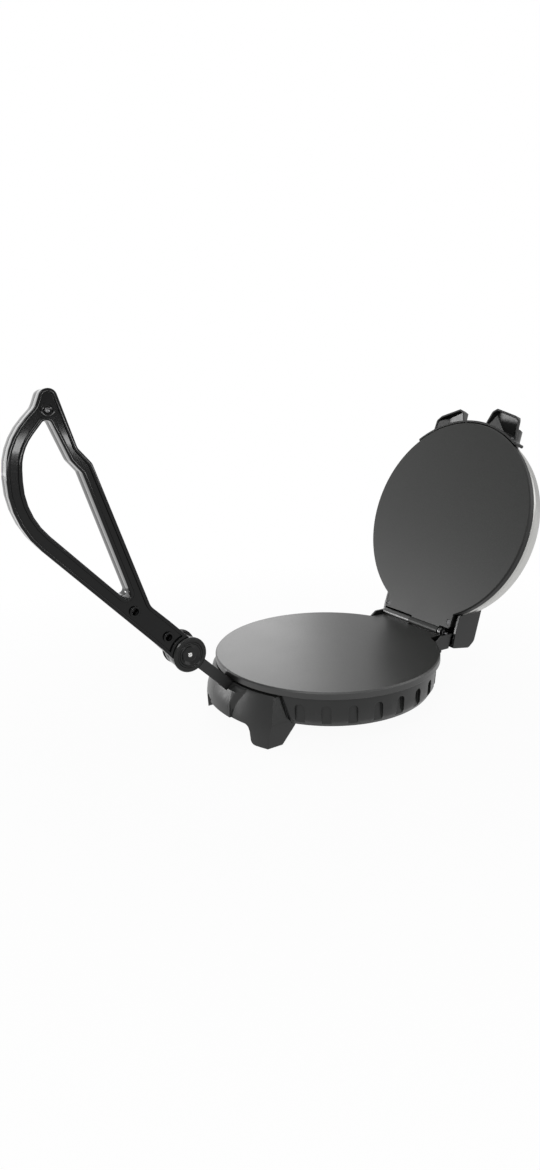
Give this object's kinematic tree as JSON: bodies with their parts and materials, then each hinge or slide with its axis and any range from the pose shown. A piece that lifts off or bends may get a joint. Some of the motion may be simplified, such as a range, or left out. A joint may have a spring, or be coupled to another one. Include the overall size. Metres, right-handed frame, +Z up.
{
  "type": "electric roti maker",
  "caption": "Electric roti maker with a hinged steel lid, round non-stick cooking plates, a fluted black base and a loop handle that folds over the lid.",
  "frame": {"origin": "middle of the whole outline, on the table", "axes": "+Z up; -Y to the handle side, +Y to the hinge side; +X to the right seen from the handle"},
  "size_m": [0.254, 0.5954, 0.3569],
  "materials": {
    "body_plastic": "satin black",
    "handle_plastic": "satin to gloss black",
    "plate_coating": "cast aluminium under a matte dark grey non-stick coating",
    "shell_steel": "polished stainless steel sheet",
    "fastener": "zinc plated",
    "inner_metal": "plain rolled sheet",
    "bright_pin": "bright turned steel",
    "strut_paint": "satin dark grey",
    "seal": "matte black silicone",
    "foot_rubber": "matte black",
    "panel_plastic": "fine matte dark grey",
    "red_lens": "clear red",
    "green_lens": "clear green"
  },
  "bodies": {
    "base": {"base_tub": "body_plastic", "front_saddle": "body_plastic", "bottom_cover": "body_plastic", "rear_hinge_block": "body_plastic", "foot_pads": "foot_rubber", "bottom_screws": "fastener", "cord_bushing": "body_plastic", "lower_plate": "plate_coating", "base_gasket": "seal", "lower_element": "inner_metal", "lower_heat_shield": "inner_metal", "plate_posts": "fastener", "thermal_fuse": "fastener", "strut": "strut_paint", "strut_bracket": "fastener", "strut_bolt": "fastener", "knuckle_disc_right": "body_plastic", "knuckle_disc_left": "body_plastic", "knuckle_pin": "bright_pin", "hinge_pin": "bright_pin", "hinge_clips": "fastener"},
    "lid": {"upper_plate": "plate_coating", "lid_gasket": "seal", "upper_element": "inner_metal", "lid_heat_shield": "inner_metal", "lid_shell": "shell_steel", "press_block": "body_plastic", "rear_housing": "body_plastic", "control_panel": "panel_plastic", "neck_screws": "fastener", "thermostat": "fastener", "thermostat_bracket": "fastener", "power_lamp": "red_lens", "ready_lamp": "green_lens"},
    "knob": {"thermostat_knob": "body_plastic"},
    "handle": {"handle_right": "handle_plastic", "handle_left": "handle_plastic", "handle_screws": "fastener"}
  },
  "joints": [
    {"name": "lid_hinge", "type": "hinge", "parent": "base", "child": "lid", "pos_m": [0, 0.17585, 0.0626], "axis": [1, 0, 0], "range_deg": [0, 111]},
    {"name": "handle_pivot", "type": "hinge", "parent": "base", "child": "handle", "pos_m": [0, -0.13595, 0.0919], "axis": [-1, 0, 0], "range_deg": [0, 104]},
    {"name": "thermostat_turn", "type": "hinge", "parent": "lid", "child": "knob", "pos_m": [0, 0.22959, 0.08707], "axis": [0, 0.9336, -0.3584], "range_deg": [0, 270]}
  ]
}
